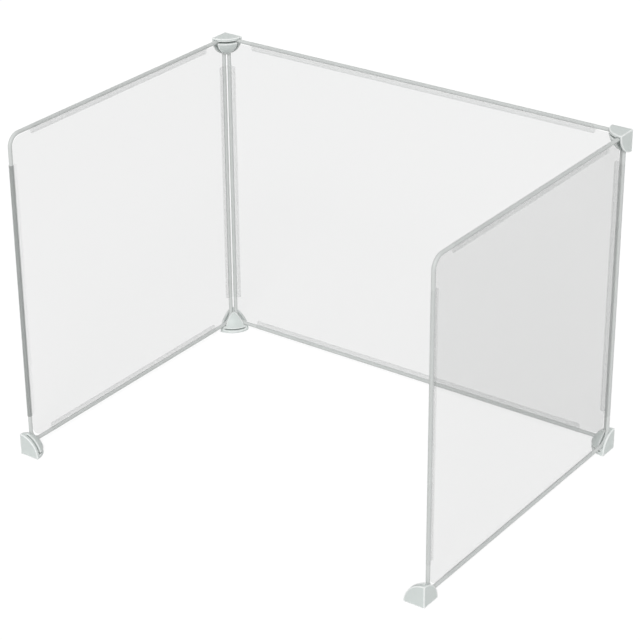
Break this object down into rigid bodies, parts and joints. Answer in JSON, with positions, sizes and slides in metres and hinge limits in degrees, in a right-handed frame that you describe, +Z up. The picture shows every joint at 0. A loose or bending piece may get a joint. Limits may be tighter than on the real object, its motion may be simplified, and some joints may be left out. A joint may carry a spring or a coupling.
{
  "type": "table-top sneeze guard",
  "caption": "Free-standing sneeze guard for a table or counter: translucent sheets in coated wire frames, joined and footed by push-on corner connectors, open at the front and top.",
  "frame": {"origin": "on the table, under the middle of the object's bounding box", "axes": "+Z up, the open front facing -Y, +X to the right of a person who looks at the open front"},
  "size_m": [0.5064, 0.3668, 0.3608],
  "materials": {
    "wire_coating": "gloss pale grey coating on steel wire",
    "film": "clear sheet with a fine frosted skin",
    "welded_film": "same film folded double and heat-welded",
    "connector_plastic": "moulded translucent grey-green plastic"
  },
  "bodies": {
    "left_panel": {"left_wire_frame": "wire_coating", "left_sheet": "film", "left_top_edge_strip": "welded_film", "left_front_edge_strip": "welded_film", "left_bottom_edge_strip": "welded_film", "left_rear_edge_strip": "welded_film"},
    "right_panel": {"right_wire_frame": "wire_coating", "right_sheet": "film", "right_top_edge_strip": "welded_film", "right_front_edge_strip": "welded_film", "right_bottom_edge_strip": "welded_film", "right_rear_edge_strip": "welded_film"},
    "back_panel": {"back_wire_frame": "wire_coating", "back_sheet": "film", "back_top_edge_strip": "welded_film", "back_left_edge_strip": "welded_film", "back_bottom_edge_strip": "welded_film", "back_right_edge_strip": "welded_film"},
    "top_left_connector": {"top_left_connector": "connector_plastic"},
    "top_right_connector": {"top_right_connector": "connector_plastic"},
    "rear_left_foot": {"rear_left_foot": "connector_plastic"},
    "rear_right_foot": {"rear_right_foot": "connector_plastic"},
    "front_left_foot": {"front_left_foot": "connector_plastic"},
    "front_right_foot": {"front_right_foot": "connector_plastic"}
  },
  "joints": [
    {"name": "left_panel_lift", "type": "slide", "parent": "back_panel", "child": "left_panel", "axis": [0, 0, 1], "range_m": [0, 0.025]},
    {"name": "right_panel_lift", "type": "slide", "parent": "back_panel", "child": "right_panel", "axis": [0, 0, 1], "range_m": [0, 0.025]},
    {"name": "top_left_pull_off", "type": "slide", "parent": "left_panel", "child": "top_left_connector", "axis": [0, 0, 1], "range_m": [0, 0.025]},
    {"name": "top_right_pull_off", "type": "slide", "parent": "right_panel", "child": "top_right_connector", "axis": [0, 0, 1], "range_m": [0, 0.025]},
    {"name": "rear_left_pull_off", "type": "slide", "parent": "back_panel", "child": "rear_left_foot", "axis": [0, 0, -1], "range_m": [0, 0.02]},
    {"name": "rear_right_pull_off", "type": "slide", "parent": "back_panel", "child": "rear_right_foot", "axis": [0, 0, -1], "range_m": [0, 0.02]},
    {"name": "front_left_pull_off", "type": "slide", "parent": "left_panel", "child": "front_left_foot", "axis": [0, -1, 0], "range_m": [0, 0.02]},
    {"name": "front_right_pull_off", "type": "slide", "parent": "right_panel", "child": "front_right_foot", "axis": [0, -1, 0], "range_m": [0, 0.02]}
  ]
}
